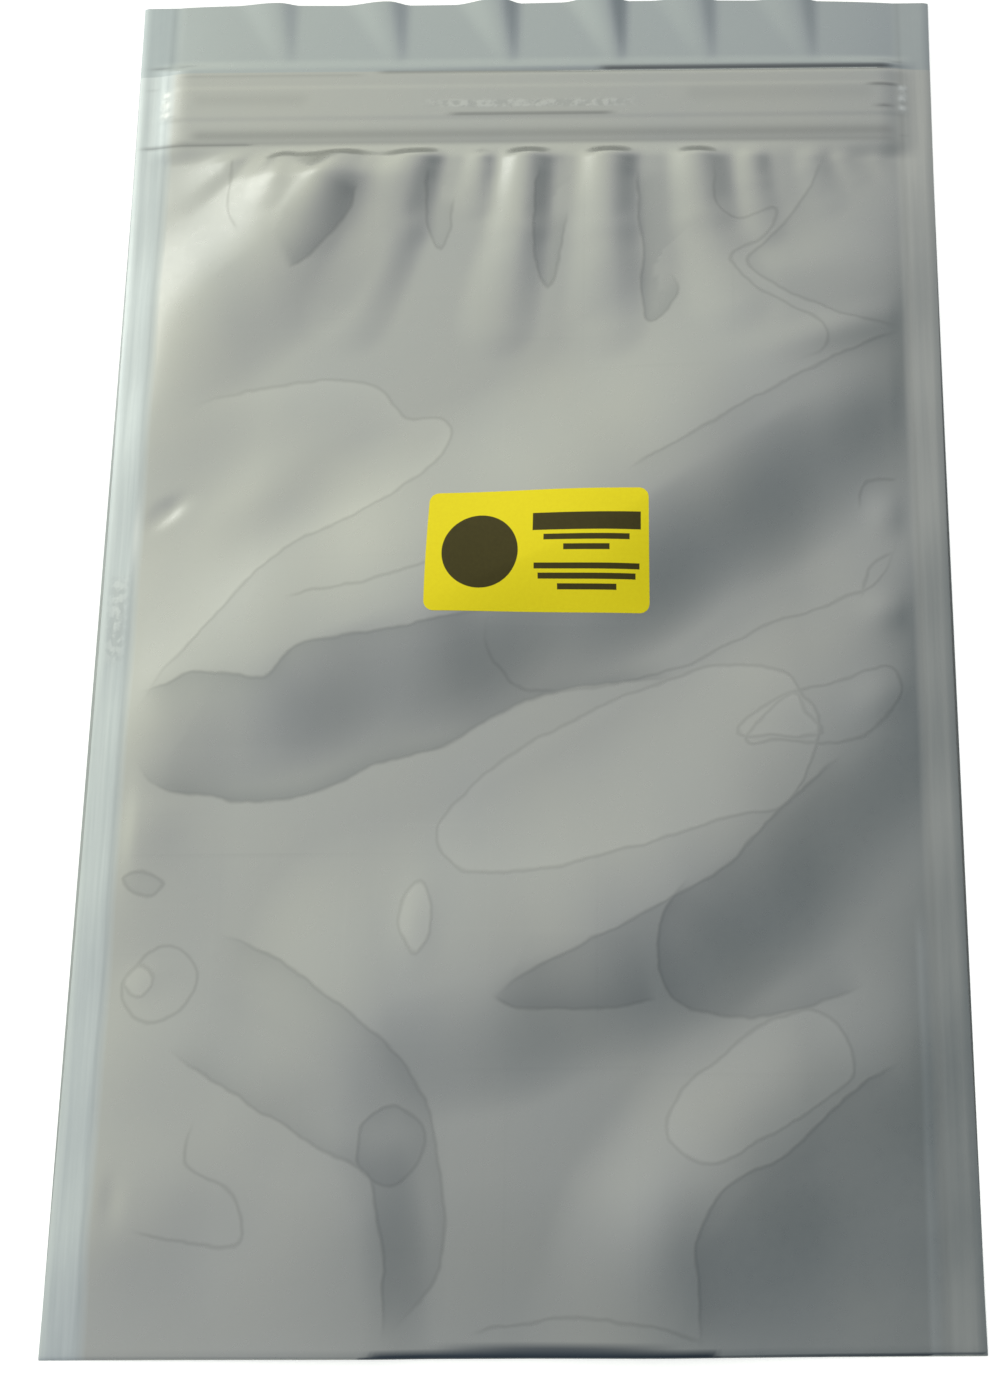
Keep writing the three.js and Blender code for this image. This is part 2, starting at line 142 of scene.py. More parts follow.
# Place on the zip and place of the foot as shares of half the pouch width, length,
# rise, reach left and reach right
GATHERS = [
    (-0.79, -0.95, 0.28, 0.6, 0.8, 0.5),
    (-0.67, -0.71, 0.3, 0.55, 0.55, 0.5),
    (-0.51, -0.6, 0.5, 0.7, 0.7, 0.8),
    (-0.3, -0.46, 0.95, 1, 1.1, 0.8),
    (-0.26, -0.27, 0.15, 0.35, 0.35, 0.35),
    (-0.13, -0.15, 0.35, 0.5, 0.55, 0.4),
    (0, -0.07, 1, 1.05, 1, 0.75),
    (0.06, 0.05, 0.15, 0.3, 0.35, 0.35),
    (0.215, 0.22, 1, 1.05, 1.05, 0.8),
    (0.27, 0.26, 0.15, 0.35, 0.35, 0.35),
    (0.45, 0.54, 0.88, 1, 1, 0.9),
    (0.6, 0.63, 0.5, 0.55, 0.6, 0.5),
    (0.76, 0.8, 0.33, 0.5, 0.6, 0.5),
    (0.84, 0.88, 0.2, 0.4, 0.4, 0.35),
    (0.94, 0.98, 0.2, 0.4, 0.4, 0.35),
]

# Pinched point of each wave in the front lip, as a share of half the pouch width,
# and its rise
LIP_WAVES = [(-0.98, 0.3), (-0.68, 0.55), (-0.37, 0.75), (-0.06, 1), (0.24, 1.2), (0.49, 0.7), (0.77, 0.7)]

# Small dents and blisters: place in millimetres, half width and half height in
# millimetres, turn in degrees, and rise in millimetres
BLISTERS = [
    (-94, 28, 6, 2.2, 32, -0.9), (-68, 32, 17, 10, 30, 1.1), (-95, -53, 11, 11, 0, 1.0),
    (-91, -90, 6, 4, 20, 0.2), (-29, -128, 7, 9, 10, 0.3), (93, 26, 5, 6, 0, 0.5), (92, 0, 6, 5, 0, 0.5),
    (90, -22, 8, 6, 30, 0.4), (-24, -76, 5, 10, 0, 0.35), (60, -118, 24, 12, 32, 0.5),
    (34, -146, 9, 18, 0, 0.4), (-80, -135, 14, 10, -30, 0.4), (72, 94, 16, 8, 10, 0.5),
    (60, 106, 9, 8, 0, 0.4), (82, 76, 20, 5, 18, 0.6), (84, 56, 16, 12, 25, 0.9), (-95, -140, 3, 6, 0, -0.3),
]
BLISTER_EDGE = 1.2
BLISTER_MARGIN = 5 * MM
DEEPEST_DENT = 0.8


def smooth(a, b, value):
    """Smooth step from 0 at a to 1 at b."""
    t = np.clip((value - a) / (b - a), 0, 1)
    return t * t * (3 - 2 * t)


def fold_height(x, y, path, rise, reach, start):
    """Height of a fold whose crest follows the path and whose flanks end at the reach."""
    path = np.array(path, float)
    steps = np.diff(path, axis=0)
    lengths = np.hypot(steps[:, 0], steps[:, 1])
    blend = FOLD_BLEND * (reach[0] + reach[1])
    run = 0
    weights = 1e-300
    height = 0
    for corner, step, length in zip(path, steps, lengths):
        dx, dy = step / length
        rx = x - corner[0]
        ry = y - corner[1]
        along = np.clip(rx * dx + ry * dy, 0, length)
        away = np.hypot(rx - along * dx, ry - along * dy)
        turn = (dx * ry - dy * rx) / np.maximum(away, 1e-9)
        leftness = (1 + np.clip(turn, -1, 1)) / 2
        share = (run + along) / lengths.sum()
        width = (reach[1] + (reach[0] - reach[1]) * leftness) * (start + (1 - start) * share)
        t = np.minimum(away / width, 1)
        weight = np.exp(-away / blend)
        weights = weights + weight
        height = height + weight * (rise[0] + (rise[1] - rise[0]) * share) * (1 - t * t) ** 2
        run += length
    return height / weights


def broad_height(x, y):
    """Rise of the broad folds, made by the air shut in the bag."""
    total = 0
    for crest, rise, reach, start in BROAD_FOLDS:
        path = [(across * HALF_POUCH, FOOT_Y + up * POUCH_LENGTH) for across, up in crest]
        rises = [share * BROAD_RISE for share in rise]
        reaches = [share * BROAD_REACH for share in reach]
        total = total + fold_height(x, y, path, rises, reaches, start)
    return total


def gather_height(x, y):
    """Rise of the gathers, which run down from the zip."""
    total = 0
    for top, foot, length, rise, left, right in GATHERS:
        drop = length * GATHER_LENGTH
        path = [
            (foot * HALF_POUCH, TAPE_LOW_Y - drop),
            ((0.7 * top + 0.3 * foot) * HALF_POUCH, TAPE_LOW_Y - drop / 2),
            (top * HALF_POUCH, TAPE_LOW_Y),
        ]
        rises = (GATHER_TIP * rise * GATHER_RISE, rise * GATHER_RISE)
        reaches = (left * GATHER_REACH, right * GATHER_REACH)
        total = total + fold_height(x, y, path, rises, reaches, GATHER_SPREAD)
    return total


def wave_height(x, y):
    """Rise of the waves in the front lip, each pinched to a point above the zip."""
    reaches = (WAVE_LEFT * WAVE_REACH, WAVE_RIGHT * WAVE_REACH)
    total = 0
    for place, rise in LIP_WAVES:
        point = place * HALF_POUCH
        path = [(point, TAPE_TOP_Y + WAVE_TIP), (point - WAVE_LEAN * WAVE_REACH, MOUTH_Y + WAVE_TIP)]
        total = total + fold_height(x, y, path, (0, rise * WAVE_RISE), reaches, WAVE_PINCH)
    return total


def blister_height(x, y):
    """Rise of the small dents and blisters."""
    total = 0
    for place_x, place_y, half_x, half_y, turn, rise in BLISTERS:
        cos, sin = math.cos(math.radians(turn)), math.sin(math.radians(turn))
        dx = x / MM - place_x
        dy = y / MM - place_y
        reach = np.hypot((dx * cos + dy * sin) / half_x, (dy * cos - dx * sin) / half_y)
        total = total + rise * MM * np.exp(-BLISTER_EDGE * reach ** 2)
    return total


def fold_round(y):
    """Share of the full height near the fold at the foot, as a quarter round."""
    inset = np.clip((y - FOOT_Y) / FOLD_ROUND, 0.02, 1)
    return np.sqrt(1 - (1 - inset) ** 2)


def front_height(x, y):
    """Height of the front film over the point (x, y) of the flat bag."""
    share = np.minimum(np.abs(x) / HALF_POUCH, 1)
    across = 1 - share ** np.where(x < 0, LEFT_FALL, RIGHT_FALL)
    near_foot = smooth(FOOT_Y, FOOT_Y + BROAD_REACH, y)
    near_zip = smooth(TAPE_LOW_Y, TAPE_LOW_Y - BROAD_REACH / 3, y)
    puff = PUFF * across * (FOOT_PUFF + (1 - FOOT_PUFF) * near_foot)
    broad = broad_height(x, y) * across * near_zip * (FOOT_BROAD + (1 - FOOT_BROAD) * near_foot)
    gathered = gather_height(x, y) * np.sqrt(across) * smooth(TAPE_LOW_Y, TAPE_LOW_Y - GATHER_START, y)
    blisters = blister_height(x, y) * smooth(HALF_POUCH, HALF_POUCH - BLISTER_MARGIN, np.abs(x)) * near_zip
    pouch = SEAL_Z + puff + np.maximum(broad + gathered + blisters, -DEEPEST_DENT * puff)
    proud = smooth(BASE_HALF + BAND_EDGE, BASE_HALF, np.abs(y - RIB_Y)) * BASE_STEP
    crushed = smooth(HALF_POUCH + ZIP_END_CRUSH, HALF_ZIP, np.abs(x))
    crease_depth = CREASE_LEFT + CREASE_MORE * smooth(CREASE_FROM, CREASE_TO, x)
    crease = np.exp(-(((y - TAPE_TOP_Y) / CREASE_HALF) ** 2)) * crease_depth
    low_crease = np.exp(-(((y - TAPE_LOW_Y + LOW_CREASE_DROP) / LOW_CREASE_HALF) ** 2)) * LOW_CREASE
    band = SEAL_Z + (ZIP_Z + proud - SEAL_Z - crease - low_crease) * crushed
    lip_across = 1 - share ** LIP_SIDE_FALL
    lip = SEAL_Z + (MOUTH_SLACK + wave_height(x, y)) * lip_across
    above = smooth(TAPE_TOP_Y + BAND_EDGE / 2, TAPE_TOP_Y + 3 * BAND_EDGE, y)
    below = smooth(TAPE_LOW_Y, TAPE_LOW_Y - 4 * BAND_EDGE, y)
    height = band + (lip - band) * above + (pouch - band) * below
    return height * fold_round(y)


def drawn(x, y):
    """Where a point of the flat bag lies, with its sides drawn in and its mouth wavy."""
    mid = 1 - (y / MOUTH_Y) ** 2
    outer = smooth(HALF_POUCH, HALF_WIDTH, np.abs(x))
    wave = (1 - np.sin(2 * np.pi * x / MOUTH_WAVE_LENGTH)) / 2
    lower = MOUTH_WAVE * wave * smooth(TAPE_TOP_Y, MOUTH_Y, y)
    return x - np.sign(x) * EDGE_DRAW * mid * outer, y - lower


# Film pouch: the mesh. The flat web is a grid whose rows run in through the mouth, up
# the back lip, down the back, round the fold, up the front and back into the mouth.
COLUMNS = 176
SLOT_END_Y = TAPE_LOW_Y - BAND_EDGE / 2
TINY = 0.01 * MM

# The film stands up along the inner edge of each side seal, unevenly, below the zip
SEAM_LIFT = 1.1 * MM
SEAM_REACH = 30 * MM
SEAM_ZIP_FADE = 25 * MM


def spread(a, b, step):
    """Rows from a to b, without b, about a step apart."""
    return list(np.linspace(a, b, max(1, round(abs(b - a) / step)), endpoint=False))


front_rows = (
    [FOOT_Y, FOOT_Y + 0.08 * FOLD_ROUND, FOOT_Y + 0.3 * FOLD_ROUND, FOOT_Y + 0.6 * FOLD_ROUND]
    + spread(FOOT_Y + FOLD_ROUND, TAPE_LOW_Y - 40 * MM, 1.5 * MM)
    + spread(TAPE_LOW_Y - 40 * MM, TAPE_LOW_Y - 8 * MM, 1.1 * MM)
    + spread(TAPE_LOW_Y - 8 * MM, TAPE_TOP_Y + 6 * MM, 0.5 * MM)
    + spread(TAPE_TOP_Y + 6 * MM, MOUTH_Y, 0.8 * MM)
    + [MOUTH_Y]
)
lip_rows = spread(SLOT_END_Y, MOUTH_Y, 1.2 * MM) + [MOUTH_Y]
back_rows = spread(MOUTH_Y, FOOT_Y, 6 * MM)
rows = (
    [("back_inside", y) for y in lip_rows]
    + [("back", y) for y in back_rows]
    + [("front", y) for y in front_rows]
    + [("front_inside", y) for y in reversed(lip_rows)]
    + [("back_inside", SLOT_END_Y)]
)

bpy.ops.object.select_all(action="DESELECT")
bpy.ops.mesh.primitive_grid_add(
    x_subdivisions=COLUMNS, y_subdivisions=len(rows) - 1, size=2, location=(0, 0, 0)
)
film = bpy.context.active_object
film.name = "bag_film"
count = len(film.data.vertices)
flat = np.empty(count * 3)
film.data.vertices.foreach_get("co", flat)
flat = flat.reshape(-1, 3)
row_of = np.rint((flat[:, 1] + 1) / 2 * (len(rows) - 1)).astype(int)
web_x = flat[:, 0] * HALF_WIDTH
web_y = np.array([y for _, y in rows])[row_of]
wall = np.array([name for name, _ in rows])[row_of]
outer_z = front_height(web_x, web_y)
on_tape = smooth(TAPE_TOP_Y + BAND_EDGE, TAPE_TOP_Y, web_y)
lining = FILM + (LINING_OVER_ZIP - FILM) * on_tape
in_seal = np.abs(web_x) > HALF_POUCH - TINY
middle = SEAL_Z * fold_round(web_y) / 2
rim = np.abs(web_x) > HALF_WIDTH - TINY
web_z = np.select(
    [wall == "front", wall == "back", wall == "front_inside"],
    [np.where(rim, middle, outer_z), 0 * outer_z, np.maximum(outer_z - lining, FILM * 1.5)],
    default=FILM,
)
web_z = np.where(in_seal & np.isin(wall, ["front_inside", "back_inside"]), middle, web_z)
curl = 0.8 + 0.3 * np.sin(web_y / (17 * MM) + 2 * np.sign(web_x)) + 0.2 * np.sin(web_y / (6.3 * MM))
seam = smooth(HALF_WIDTH + 1 * MM, HALF_POUCH - 1 * MM, np.abs(web_x))
seam = seam * smooth(HALF_POUCH - SEAM_REACH, HALF_POUCH, np.abs(web_x))
seam = seam * smooth(FOOT_Y, FOOT_Y + SEAM_REACH, web_y)
seam = seam * smooth(TAPE_LOW_Y, TAPE_LOW_Y - SEAM_ZIP_FADE, web_y)
web_z = web_z + SEAM_LIFT * curl * seam
placed_x, placed_y = drawn(web_x, web_y)
film.data.vertices.foreach_set("co", np.column_stack([placed_x, placed_y, web_z]).ravel())

web = bmesh.new()
web.from_mesh(film.data)
web.verts.ensure_lookup_table()
inside = np.isin(wall, ["front_inside", "back_inside"])
hidden = [
    face
    for face in web.faces
    if all(inside[v.index] for v in face.verts)
    and abs(sum(web_x[v.index] for v in face.verts)) / len(face.verts) > HALF_POUCH
]
bmesh.ops.delete(web, geom=hidden, context="FACES")
bmesh.ops.remove_doubles(web, verts=web.verts, dist=TINY / 5)
edges = [edge for edge in web.edges if edge.is_boundary]
bmesh.ops.holes_fill(web, edges=edges, sides=0)
bmesh.ops.recalc_face_normals(web, faces=web.faces)
web.to_mesh(film.data)
web.free()
bpy.ops.object.shade_smooth_by_angle(angle=math.radians(50))

# Film pouch: the tide lines. Where the front film clings to the back it leaves faint
# outlines, with a tone on one side of each that is partly the film's own see-through colour
# where it clings and partly painted shade and painted highlight. Each is a smooth curve
# through points in millimetres: (group, closed, how dark the film is on its left, points).
# Curves that cross are in different groups.
CLING_CURVES = [
    (0, False, -0.4, [(-98, -24), (-90, -14), (-76, 2), (-60, 18), (-44, 26), (-27, 37), (-20, 46),
        (-22, 52), (-32, 53), (-40, 61.6), (-60, 63), (-90, 57)]),
    (1, False, 0.7, [(-8, 0), (-24, -3), (-44, -6.4), (-56, -9), (-64, -16.4), (-82, -15), (-97, -20)]),
    (2, False, 0.9, [(-97, -36), (-90, -43), (-70, -46.4), (-54, -46), (-36, -38), (-20, -34), (-8, -27),
        (4, -21), (20, -18), (40, -17)]),
    (3, False, 0, [(-7, 0), (-9, -6), (-6, -14), (0, -19), (16, -19), (40, -14), (60, -4), (80, 3),
        (90, 8), (96, 20)]),
    (0, False, 0.2, [(99, 77), (88, 72), (70, 62), (50, 50), (26, 36)]),
    (1, True, -0.3, [(-14, -64), (4, -64), (24, -60), (50, -52), (66, -48), (74, -30), (69, -20),
        (64, -15), (50, -13.6), (40, -16), (24, -22), (8, -30), (-8, -40), (-20, -54)]),
    (0, True, -0.4, [(-28, -72), (-28, -79), (-24, -84), (-21, -79), (-21, -72), (-24, -67)]),
    (2, True, -0.2, [(66, -32), (75, -31), (71, -26), (68, -21), (58, -26), (54, -31)]),
    (3, True, 0, [(56, -33), (66, -33), (80, -33.6), (90, -28), (95, -20), (92, -14), (80, -18),
        (66, -22)]),
    (2, False, 0.5, [(80, -36), (66, -48), (50, -64), (40, -70), (20, -80), (4, -88), (-6, -94)]),
    (1, False, 0.6, [(-6, -94), (0, -96.4), (20, -97), (34, -95)]),
    (3, False, 0.6, [(42, -66), (35, -76), (34, -86), (38, -95), (48, -99), (66, -98), (84, -92)]),
    (0, True, -0.3, [(46, -132), (60, -126), (76, -117), (80.6, -112), (77, -102), (70, -98), (60, -101),
        (50, -108), (40, -116), (36, -126)]),
    (1, False, 0.5, [(92, -110), (80, -116), (64, -130), (52, -136), (46, -142), (43, -150), (43.6, -162),
        (43.5, -174)]),
    (2, False, 0.5, [(-29, -170), (-24, -166), (-18, -158), (-15.6, -146), (-17, -136), (-19, -126),
        (-22, -116), (-30, -105), (-44, -94), (-60, -84), (-74, -79)]),
    (0, False, 0.45, [(-84, -106), (-74, -112), (-60, -120), (-44, -129), (-34, -134), (-32, -142),
        (-30, -154), (-30, -172)]),
    (3, True, 0.3, [(-36, -124), (-36, -132), (-29, -137), (-22, -132), (-22, -124), (-29, -119)]),
    (1, True, -0.3, [(-96, -90), (-92, -94), (-88, -90), (-92, -86)]),
    (3, True, 0, [(-96, -90), (-92, -99), (-82, -98), (-78, -88), (-86, -82)]),
    (1, False, 0, [(-76, -122), (-77, -132), (-67, -138), (-63, -146), (-67, -151), (-90, -147)]),
    (0, True, 0.3, [(-91, -70), (-87, -67), (-93, -64), (-98, -66)]),
    (1, False, 0.3, [(-28, 124), (-28, 112), (-25, 101), (-22, 104), (-21, 116)]),
    (3, False, 0.5, [(2, 124), (1, 108), (3, 92), (6, 90), (9, 104), (10, 112)]),
    (1, False, 0.6, [(28, 124), (30, 104), (30, 88), (32, 79), (37, 83), (40, 88), (37, 94)]),
    (2, False, 0, [(50, 127), (50, 114), (56, 109), (66, 112), (64, 104), (54, 97), (60, 88), (70, 82),
        (78, 77), (78, 70), (70, 66)]),
    (0, False, 0.2, [(80, 128), (74, 116), (66, 104), (58, 96), (66, 88), (84, 80), (99, 78)]),
    (2, False, 0.8, [(-64, 94), (-58, 98), (-50, 108), (-46, 118)]),
    (2, False, 0, [(-82, 128), (-81, 112), (-78, 106)]),
    (2, False, 0, [(-60, 4), (-30, 10), (0, 24)]),
    (3, False, 0, [(-10, -170), (10, -167), (30, -168), (45, -172)]),
    (2, False, 0, [(86, 28), (88, 34), (96, 36)]),
    (1, False, 0, [(86, 4), (88, 12), (94, 16)]),
]
CLING_FADE = 3.0
CLING_ENDS = 0.12
TONE_FADE = 7
FIELD_REACH = 14
POINT_STEP = 1.2


def smooth_curve(points, closed):
    """A curve through the points, with about a millimetre between its own points."""
    points = np.array(points, float)
    ends = (points[-1:], points[:2]) if closed else (points[:1], points[-1:])
    padded = np.vstack([ends[0], points, ends[1]])
    curve = []
    for before, a, b, after in zip(padded, padded[1:], padded[2:], padded[3:]):
        for t in np.linspace(0, 1, max(2, int(np.hypot(*(b - a)) / POINT_STEP)), endpoint=False):
            bend = (2 * a + (b - before) * t + (2 * before - 5 * a + 4 * b - after) * t ** 2
                    + (3 * a - before - 3 * b + after) * t ** 3)
            curve.append(bend / 2)
    curve.append(curve[0] if closed else padded[-2])
    return np.array(curve)


def cling_field(x, y, group):
    """Signed distance in millimetres, strength and tone of the nearest curve of a group."""
    nearest = np.full(x.shape, 99.0)
    signed = np.full(x.shape, 99.0)
    strength = np.zeros(x.shape)
    tone = np.zeros(x.shape)
    for number, closed, dark, points in CLING_CURVES:
        if number != group:
            continue
        curve = smooth_curve(points, closed)
        close = np.flatnonzero(
            (x > curve[:, 0].min() - FIELD_REACH) & (x < curve[:, 0].max() + FIELD_REACH)
            & (y > curve[:, 1].min() - FIELD_REACH) & (y < curve[:, 1].max() + FIELD_REACH)
        )
        a, b = curve[:-1], curve[1:]
        step = b - a
        length = np.hypot(step[:, 0], step[:, 1])
        rx = x[close, None] - a[None, :, 0]
        ry = y[close, None] - a[None, :, 1]
        along = np.clip((rx * step[:, 0] + ry * step[:, 1]) / length ** 2, 0, 1)
        away = np.hypot(rx - along * step[:, 0], ry - along * step[:, 1])
        best = away.argmin(axis=1)
        pick = np.arange(len(close))
        side = np.sign(step[best, 0] * ry[pick, best] - step[best, 1] * rx[pick, best])
        share = (best + along[pick, best]) / len(step)
        distance = away[pick, best]
        ends = smooth(0, CLING_ENDS, share) * smooth(1, 1 - CLING_ENDS, share)
        ends = np.ones(len(close)) if closed else ends
        closer = distance < nearest[close]
        chosen = close[closer]
        nearest[chosen] = distance[closer]
        signed[chosen] = (side * distance)[closer]
        strength[chosen] = (ends * smooth(CLING_FADE, 0.6 * CLING_FADE, distance))[closer]
        tone[chosen] = (ends * dark * np.exp(-distance / TONE_FADE))[closer]
    return np.column_stack([signed, strength, tone])


final = np.empty(len(film.data.vertices) * 3)
film.data.vertices.foreach_get("co", final)
final = final.reshape(-1, 3) / MM
outside = final[:, 2] > 0.5
for group in range(4):
    field = cling_field(final[:, 0], final[:, 1], group)
    field[:, 1:] *= outside[:, None]
    attribute = film.data.attributes.new(f"cling_{group}", "FLOAT_VECTOR", "POINT")
    attribute.data.foreach_set("vector", field.ravel())

# Side seals: painted shade as a dark line along the inner edge of each, where the film rises
# from the seal; lighter melted spots at the ends of the zip, partly the melted plastic's own
# colour and partly painted highlight; and a painted highlight as a shiny strip at the lower
# right and left. Places are in millimetres.
SEAL_LINE_X = 100.8
MELT_X = 101.5
MELT_SPOTS = [(142.3, 0.8), (145.3, 1.1), (148.3, 0.8)]
RIGHT_HIGHLIGHT_X = 98
LEFT_HIGHLIGHT = (-101, 22)
seal = smooth(99.6, 100.4, np.abs(final[:, 0]))
melt_and_highlight = np.zeros(len(final))
for side_x in (-MELT_X, MELT_X):
    for spot_y, reach in MELT_SPOTS:
        melt_and_highlight += 0.8 * np.exp(-((final[:, 0] - side_x) ** 2) - ((final[:, 1] - spot_y) / reach) ** 2)
# Painted highlights: a light strip beside the right seal low down, and a short one in the left seal
right_painted_highlight = np.exp(-(((final[:, 0] - RIGHT_HIGHLIGHT_X) / 0.9) ** 2)) * smooth(-72, -85, final[:, 1])
left_painted_highlight = np.exp(-(((final[:, 0] - LEFT_HIGHLIGHT[0]) / 0.8) ** 2))
left_painted_highlight = left_painted_highlight * np.exp(-(((final[:, 1] - LEFT_HIGHLIGHT[1]) / 8) ** 2))
melt_and_highlight += 0.35 * right_painted_highlight + 0.5 * left_painted_highlight
# Painted shade: a dark line along the inner edge of each seal
line = np.exp(-(((np.abs(final[:, 0]) - SEAL_LINE_X) / 0.5) ** 2))
attribute = film.data.attributes.new("seal_melt_highlight_edge_shade", "FLOAT_VECTOR", "POINT")
attribute.data.foreach_set("vector", np.column_stack([seal, np.minimum(melt_and_highlight, 1), line]).ravel())

# Painted shade in the creases along the zip: from x to x at y in millimetres, half width and darkness
CREASE_SHADES = [
    (-45, 22, 154.3, 0.5, 0.5), (16, 101, 155, 0.8, 0.95), (-100, -45, 153.4, 0.4, 0.2),
    (90, 103, 149.2, 0.5, 0.7), (-109, -103, 150.4, 0.4, 0.4), (-109, -99, 157, 0.5, 0.5),
    (97, 104, 156.5, 0.4, 0.5), (-25, 24, 141.2, 0.5, 0.6), (-103, -97, 141.4, 0.4, 0.5),
    (92, 101, 142.6, 0.5, 0.6), (-96, 101, 135.3, 1.7, 0.35), (-110, -74, 132.6, 0.5, 0.6),
    (99, 104, 134, 0.4, 0.5), (-101, 101, 133, 0.9, 0.25), (-96, -60, 146, 2, 0.12), (40, 96, 147, 2.5, 0.1),
]
# Rough patches, crimped into the zip or blistered in the seal: place, half width, half height
ROUGH_PATCHES = [
    (-1, 144.3, 25, 1.1), (-104.5, 0, 2, 10), (102, 145, 1.2, 4), (-102, 145, 1.2, 4),
]
# Shade under the fold at the foot: a crescent and a thin line on to the right
HALF_LENGTH = MOUTH_Y / MM
CRESCENT_MIDDLE = 6
CRESCENT_HALF = 42
CRESCENT_HEIGHT = 2.5


def crease_shade_field(x, y):
    """Painted shade of the creases, share of the rough patches and painted shade of the fold at the foot."""
    dark = np.zeros(len(x))
    for start, end, level, reach, share in CREASE_SHADES:
        along = smooth(start, start + 5, x) * smooth(end, end - 5, x)
        dark = np.maximum(dark, share * along * np.exp(-(((y - level) / reach) ** 2)))
    rough = np.zeros(len(x))
    for place_x, place_y, half_x, half_y in ROUGH_PATCHES:
        reach = np.maximum(np.abs(x - place_x) / half_x, np.abs(y - place_y) / half_y)
        rough = np.maximum(rough, smooth(1.3, 0.8, reach))
    crescent = CRESCENT_HEIGHT * np.sqrt(np.clip(1 - ((x - CRESCENT_MIDDLE) / CRESCENT_HALF) ** 2, 0, 1))
    crescent = crescent + 0.6 * smooth(-60, 40, x) + 0.2
    foot = smooth(1.2, 0.7, (y + HALF_LENGTH) / crescent)
    return np.column_stack([dark, rough, foot])


shade_and_crimp = crease_shade_field(final[:, 0], final[:, 1]) * outside[:, None]
attribute = film.data.attributes.new("creases", "FLOAT_VECTOR", "POINT")
attribute.data.foreach_set("vector", shade_and_crimp.ravel())

# Film pouch: the finish. Silver grey film with a soft gloss, a faint mottle, tide lines where
# it clings, and duller heat seals. Painted into its colour: shade and highlight beside the
# tide lines, a bluish painted reflection on the left seal and the lip, painted shade in the
# creases, along the seals' inner edges and under the fold at the foot, and painted highlights
# on the seals.
cling_group = bpy.data.node_groups.new("cling_line", "ShaderNodeTree")
cling_group.interface.new_socket("Field", in_out="INPUT", socket_type="NodeSocketVector")
cling_group.interface.new_socket("Half Width", in_out="INPUT", socket_type="NodeSocketFloat")
cling_group.interface.new_socket("Wobble", in_out="INPUT", socket_type="NodeSocketFloat")
cling_group.interface.new_socket("Line", in_out="OUTPUT", socket_type="NodeSocketFloat")
cling_group.interface.new_socket("Tone", in_out="OUTPUT", socket_type="NodeSocketFloat")
nodes = cling_group.nodes
links = cling_group.links
group_in = nodes.new("NodeGroupInput")
group_out = nodes.new("NodeGroupOutput")
parts = nodes.new("ShaderNodeSeparateXYZ")
away = nodes.new("ShaderNodeMath")
away.operation = "ABSOLUTE"
thin = nodes.new("ShaderNodeMapRange")
thin.interpolation_type = "SMOOTHSTEP"
thin.inputs["To Min"].default_value = 1
thin.inputs["To Max"].default_value = 0
strong = nodes.new("ShaderNodeMath")
strong.operation = "MULTIPLY"
left = nodes.new("ShaderNodeMapRange")
left.interpolation_type = "SMOOTHSTEP"
left.inputs["From Min"].default_value = -0.5
left.inputs["From Max"].default_value = 0.5
toned = nodes.new("ShaderNodeMath")
toned.operation = "MULTIPLY"
wavy = nodes.new("ShaderNodeMath")
links.new(group_in.outputs["Field"], parts.inputs[0])
links.new(parts.outputs["X"], wavy.inputs[0])
links.new(group_in.outputs["Wobble"], wavy.inputs[1])
links.new(wavy.outputs[0], away.inputs[0])
links.new(away.outputs[0], thin.inputs["Value"])
links.new(group_in.outputs["Half Width"], thin.inputs["From Max"])
links.new(thin.outputs["Result"], strong.inputs[0])
links.new(parts.outputs["Y"], strong.inputs[1])
links.new(wavy.outputs[0], left.inputs["Value"])
links.new(left.outputs["Result"], toned.inputs[0])
links.new(parts.outputs["Z"], toned.inputs[1])
links.new(strong.outputs[0], group_out.inputs["Line"])
links.new(toned.outputs[0], group_out.inputs["Tone"])

film_material = bpy.data.materials.new("metallised_film")
film_material.use_nodes = True
nodes = film_material.node_tree.nodes
links = film_material.node_tree.links
film_shader = nodes["Principled BSDF"]
film_shader.inputs["Metallic"].default_value = 0.92
film_shader.inputs["Coat Weight"].default_value = 0.2
film_shader.inputs["Coat Roughness"].default_value = 0.12


def math_node(operation, first, second):
    """A Math node of two values, each a number or another node's output."""
    node = nodes.new("ShaderNodeMath")
    node.operation = operation
    for socket, value in zip(node.inputs, (first, second)):
        if isinstance(value, (int, float)):
            socket.default_value = value
        else:
            links.new(value, socket)
    return node.outputs[0]


def color_mix(factor, first, second):
    """A Mix Color node. Colours are given as tuples or as other nodes' outputs."""
    node = nodes.new("ShaderNodeMix")
    node.data_type = "RGBA"
    for name, value in (("Factor", factor), ("A", first), ("B", second)):
        socket = next(s for s in node.inputs if s.name == name and s.enabled)
        if isinstance(value, (tuple, float, int)):
            socket.default_value = value
        else:
            links.new(value, socket)
    return next(s for s in node.outputs if s.enabled)


def noise_node(scale, detail, vector=None):
    """A Noise node on Object coordinates or another vector, in features to the metre."""
    node = nodes.new("ShaderNodeTexNoise")
    node.inputs["Scale"].default_value = scale
    node.inputs["Detail"].default_value = detail
    links.new(vector or place.outputs["Object"], node.inputs["Vector"])
    return node.outputs["Fac"]


def attribute_node(name):
    """A vector stored in the mesh under a name."""
    node = nodes.new("ShaderNodeAttribute")
    node.attribute_name = name
    return node.outputs["Vector"]


